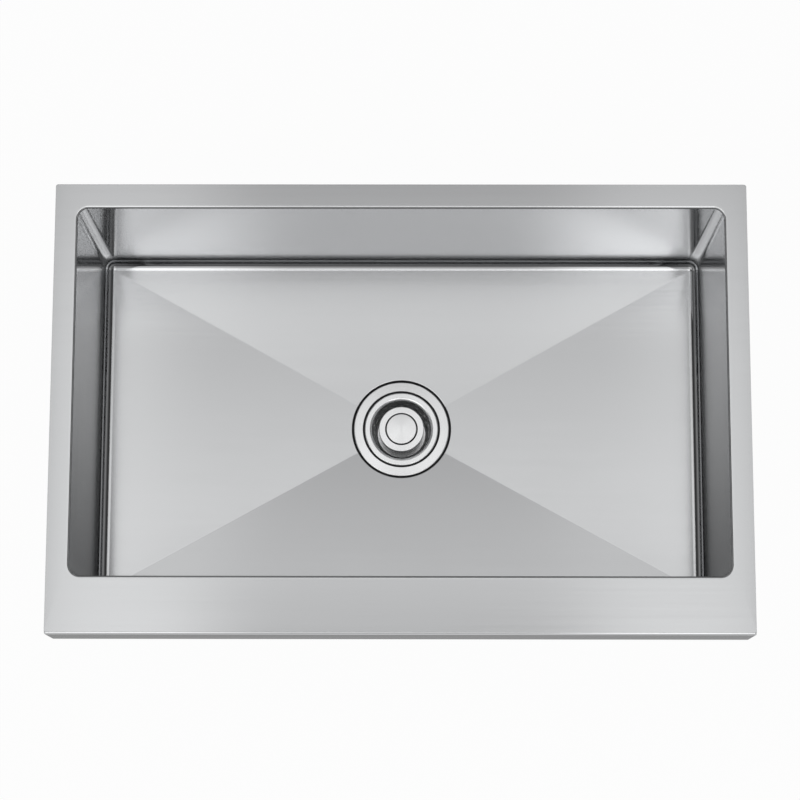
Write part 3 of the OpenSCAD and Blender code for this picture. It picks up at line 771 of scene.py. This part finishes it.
def strainer():
    """Flange, seat of the basket's rim, cup and spigot; heights count down from the flange's top."""
    flange, seat, cup, cup_core, cup_in = 57.15, 46.0, 43.2, 42.6, 41.5
    spigot, spigot_core, spigot_in, flare = 23.9, 23.3, 20.0, 25.5
    top = Z_FLANGE / MM
    outline = (
        (cup_in, 3.4, 0.5), (seat, 3.4, 0.3), (seat, 0, 0.3), (flange, 0.4, 1.6), (flange, 5.0, 1.4),
        (cup, 5.0, 0.8), (cup, 9.0, 0), (cup_core, 9.6, 0), (cup_core, 48.0, 0), (cup, 48.6, 0),
        (cup, 50.7, 1.5), (flare, 57.7, 1.0),
        (spigot, 57.7, 0), (spigot, 58.2, 0), (spigot_core, 58.8, 0), (spigot_core, 81.1, 0),
        (spigot_core, 81.7, 0.3), (spigot_in, 81.7, 0.3), (spigot_in, 56.0, 0.8),
        (flare, 56.0, 1.0), (cup_in, 49.0, 2.0))
    bm = new_mesh()
    thread(bm, cup_core - THREAD_ROOT, cup, top - 48.0, top - 9.6, 40)
    thread(bm, spigot_core - THREAD_ROOT, spigot, top - 81.2, top - 58.8, 32)
    turn(bm, profile(bm, [(r, top - depth, corner) for r, depth, corner in outline]))
    face_outwards(bm, (52 * MM, 0, Z_FLANGE), (0, 0, 1))
    even_normals(make_piece(bm, "turned_strainer", "turned_steel", "strainer_body",
                            finishes=[STRAINER_STEEL], sharp=30))


def handle():
    """A dish round the knob, a flat ring and a turned-down edge, spun from one sheet."""
    low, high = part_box("handle")
    edge, top, foot = high.x / MM, high.z / MM, low.z / MM
    bore, sheet, skirt, well = 2.1, 1.2, 5.0, KNOB_R / MM + 0.3
    bm = new_mesh()
    turn(bm, profile(bm, (
        (bore, foot, 0), (well + sheet, foot, 1.0), (well + sheet, top - sheet, 0.3),
        (edge - sheet, top - sheet, 0.3), (edge - sheet, top - skirt, 0.2), (edge, top - skirt, 0.2),
        (edge, top, 0.9), (well, top, 0.3), (well, foot + sheet, 0.3), (bore, foot + sheet, 0))))
    face_outwards(bm, (22 * MM, 0, high.z), (0, 0, 1))
    even_normals(make_piece(bm, "turned_handle", "turned_steel", "handle", body="stopper",
                            finishes=[HANDLE_STEEL], sharp=30))


def knob():
    """A disc with a broken foot, and a rounded edge round its very low crown."""
    low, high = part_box("knob")
    edge, top, foot = high.x / MM, high.z / MM, low.z / MM
    chamfer, side, crown = 1.2, 1.5, (6.0, 0.35, 2.0)
    bm = new_mesh()
    turn(bm, profile(bm, (
        (0.0, foot, 0), (edge - chamfer, foot, 0.3), (edge, foot + chamfer, 0.3), (edge, top - side, 0.9),
        (edge - 0.9, top - 0.55, 0.35), (edge - crown[0], top - crown[1], crown[2]), (0.0, top, 0)),
        closed=False))
    face_outwards(bm, (4 * MM, 0, high.z), (0, 0, 1))
    even_normals(make_piece(bm, "turned_knob", "turned_steel", "knob", body="stopper",
                            finishes=[KNOB_STEEL], sharp=30))


def draw_lug(bm, out, ring_r, middle_z, lug_r):
    """Draws the ring wall's faces on one side outwards into a lug."""
    wall = []
    for f in bm.faces:
        middle = f.calc_center_median()
        in_wall = abs(middle.z - middle_z) < MM and middle.xy.length > ring_r - MM
        if in_wall and middle.xy.angle(out) < LUG_HALF_ANGLE:
            wall.append(f)
    drawn = bmesh.ops.extrude_face_region(bm, geom=wall)["geom"]
    bmesh.ops.delete(bm, geom=wall, context="FACES")
    for v in verts_in(drawn):
        v.co.xy += out * (lug_r - v.co.xy.dot(out))


def lock_nut():
    """A turned ring nut with six lugs drawn out of its wall."""
    low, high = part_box("lock_nut")
    foot, top = low.z / MM, high.z / MM
    bore, ring, chamfer, lugs = 43.3, 50.0, 1.5, 6
    bm = new_mesh()
    turn(bm, profile(bm, (
        (bore, foot, 0), (ring - chamfer, foot, 0), (ring, foot + chamfer, 0),
        (ring, top - chamfer, 0), (ring, top, 0), (bore, top, 0))), steps=17 * lugs)
    for lug in range(lugs):
        angle = 2 * math.pi * lug / lugs
        draw_lug(bm, Vector((math.cos(angle), math.sin(angle))), ring * MM, (low.z + high.z) / 2, high.x)
    face_outwards(bm, (47 * MM, 0, high.z), (0, 0, 1))
    piece = make_piece(bm, "lugged_nut", "cast_nut", "lock_nut", sharp=50)
    edges = piece.modifiers.new("edges", "BEVEL")
    edges.limit_method = "ANGLE"
    edges.angle_limit = math.radians(35)
    edges.width = 0.45 * MM
    edges.segments = 2
    even_normals(piece)


def coupling_nut():
    """A turned nut whose eight flats are planed off, which leaves arcs at the corners."""
    low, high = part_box("coupling_nut")
    foot, top = low.z / MM, high.z / MM
    bore, inside, blank, seat, flats = 19.75, 24.0, 31.3, 3.0, 8
    bm = new_mesh()
    turn(bm, profile(bm, (
        (bore, foot, 0), (26.0, foot, 0), (blank, foot + 4.4, 0), (blank, top - 1.0, 0), (29.4, top, 0),
        (inside, top, 0), (inside, foot + seat, 0), (bore, foot + seat, 0))), steps=12 * flats)
    for side in range(flats):
        angle = 2 * math.pi * side / flats
        out = Vector((math.cos(angle), math.sin(angle), 0))
        cut = bmesh.ops.bisect_plane(bm, geom=list(bm.verts) + list(bm.edges) + list(bm.faces),
                                     plane_co=out * high.x, plane_no=out, clear_outer=True,
                                     dist=0.001 * MM)["geom_cut"]
        bmesh.ops.edgeloop_fill(bm, edges=edges_in(cut))
    bmesh.ops.remove_doubles(bm, verts=bm.verts, dist=NEAR)
    face_outwards(bm, (26.5 * MM, 0, high.z), (0, 0, 1))
    even_normals(make_piece(bm, "planed_nut", "turned_steel", "coupling_nut", sharp=20))


basin()
apron()
strainer()
handle()
knob()
lock_nut()
coupling_nut()


# Studio

# The camera as fitted to the sink's edges in the photo: angles in radians, focal length in pixels
PAN, TILT, ROLL = -0.0048, 0.1766, -0.0011
FOCAL_PX = 2425.3
PHOTO_PX = 800
SENSOR_MM = 36
CAMERA_PLACE = (12.15 * MM, -474.47 * MM, Z_DECK + 2594.3 * MM)

WHITE = (1.0, 1.0, 1.0, 1.0)
FLOOR_R = 25
FLOOR_GLOW = 0.96

# Softboxes that face down: left, right, front and back edge, and the brightness of the face, which
# was fitted to the photo's tones
SOFTBOX_Z = 3.5
SOFTBOX_STEP = 0.01
SOFT_EDGE = 0.30
SOFTBOXES = {
    "left_wide": (-3.0, -0.95, -3.0, -0.6, 1.30),
    "left_front": (-0.95, -0.45, -3.0, -0.6, 1.75),
    "left_middle": (-0.95, -0.45, -0.6, 0.1, 0.98),
    "left_back": (-0.95, -0.45, 0.1, 1.2, 1.00),
    "left_far": (-1.3, -0.45, 1.2, 3.0, 0.24),
    "centre_front": (-0.45, 0.45, -3.0, -0.6, 1.02),
    "centre_middle": (-0.45, 0.45, -0.6, 0.1, 0.38),
    "centre_back": (-0.45, 0.45, 0.1, 0.6, 1.15),
    "centre_behind": (-0.45, 0.45, 0.6, 1.2, 0.62),
    "centre_far": (-0.45, 0.45, 1.2, 3.0, 0.15),
    "right_front": (0.45, 0.95, -3.0, -0.6, 2.10),
    "right_middle": (0.45, 0.95, -0.6, 0.1, 0.90),
    "right_back": (0.45, 0.95, 0.1, 1.2, 0.95),
    "right_far": (0.45, 1.3, 1.2, 3.0, 0.26),
    "right_wide": (0.95, 3.0, -3.0, -0.6, 0.10),
}


def camera():
    """A camera nearly overhead, leaned back a little from the front."""
    level = math.cos(PAN)
    forward = Vector((math.sin(PAN), math.sin(TILT) * level, -math.cos(TILT) * level))
    right = forward.cross(Vector((0, math.cos(TILT), math.sin(TILT)))).normalized()
    up = right.cross(forward)
    rolled_right = math.cos(ROLL) * right - math.sin(ROLL) * up
    rolled_up = math.sin(ROLL) * right + math.cos(ROLL) * up
    lens = bpy.data.cameras.new("camera")
    lens.sensor_width = SENSOR_MM
    lens.lens = SENSOR_MM * FOCAL_PX / PHOTO_PX
    lens.clip_end = 60
    holder = bpy.data.objects.new("camera", lens)
    axes = Matrix((rolled_right, rolled_up, -forward)).transposed()
    holder.matrix_world = Matrix.Translation(CAMERA_PLACE) @ axes.to_4x4()
    bpy.context.scene.collection.objects.link(holder)
    bpy.context.scene.camera = holder


def studio_floor():
    """A pale floor that the camera, gloss and glass see nearly white, with the sink's shadow on it."""
    bm = bmesh.new()
    bmesh.ops.create_circle(bm, cap_ends=True, segments=64, radius=FLOOR_R,
                            matrix=Matrix.Translation((0, 0, -0.5 * MM)))
    mesh = bpy.data.meshes.new("studio_floor")
    bm.to_mesh(mesh)
    bm.free()
    floor = bpy.data.objects.new("studio_floor", mesh)
    bpy.context.scene.collection.objects.link(floor)
    nodes = Nodes("studio_floor")
    paint = nodes.add("BsdfDiffuse", Color=(0.88, 0.88, 0.88, 1.0))
    glow = nodes.add("Emission", Color=WHITE, Strength=1.0)
    rays = nodes.tree.nodes.new("ShaderNodeLightPath").outputs
    shiny = nodes.math("MAXIMUM", rays["Is Glossy Ray"], rays["Is Transmission Ray"])
    seen = nodes.math("MAXIMUM", rays["Is Camera Ray"], shiny)
    mesh.materials.append(nodes.finish(
        nodes.add("MixShader", i0=nodes.times(seen, FLOOR_GLOW), i1=paint, i2=glow)))


def studio_world():
    """Pale round the horizon and below it, dim overhead, where the softboxes hang."""
    nodes = Nodes("studio_world", "worlds", "World")
    height = nodes.split(nodes.add("TexCoord", "Generated"))[2]
    nodes.finish(nodes.add("Background", Color=WHITE, Strength=nodes.ramp(height, 0.20, 0.80, 0.90, 0.10)))
    bpy.context.scene.world = nodes.owner


def softbox(name, left, right, front, back, brightness, height):
    """A lamp behind cloth, whose face grows dim over the soft edge."""
    light = bpy.data.lights.new(name, "AREA")
    light.shape = "RECTANGLE"
    light.size, light.size_y = right - left + SOFT_EDGE, back - front + SOFT_EDGE
    light.energy = brightness * math.pi * light.size * light.size_y
    nodes = Nodes(light, output="Light")
    across, along, _ = nodes.split(nodes.add("NewGeometry", "Parametric"))
    face = 1.0
    for place, size in ((across, light.size), (along, light.size_y)):
        off_middle = nodes.math("ABSOLUTE", nodes.math("SUBTRACT", place, 0.5))
        inward = nodes.math("SUBTRACT", 0.5, off_middle)
        face = nodes.times(face, nodes.ramp(inward, 0.0, SOFT_EDGE / size))
    nodes.finish(nodes.add("Emission", Color=WHITE, Strength=face))
    holder = bpy.data.objects.new(name, light)
    holder.location = ((left + right) / 2, (front + back) / 2, height)
    bpy.context.scene.collection.objects.link(holder)


camera()
studio_floor()
studio_world()
for rank, (name, values) in enumerate(SOFTBOXES.items()):
    softbox(name, *values, SOFTBOX_Z + SOFTBOX_STEP * rank)

bpy.context.scene.view_settings.view_transform = "Standard"
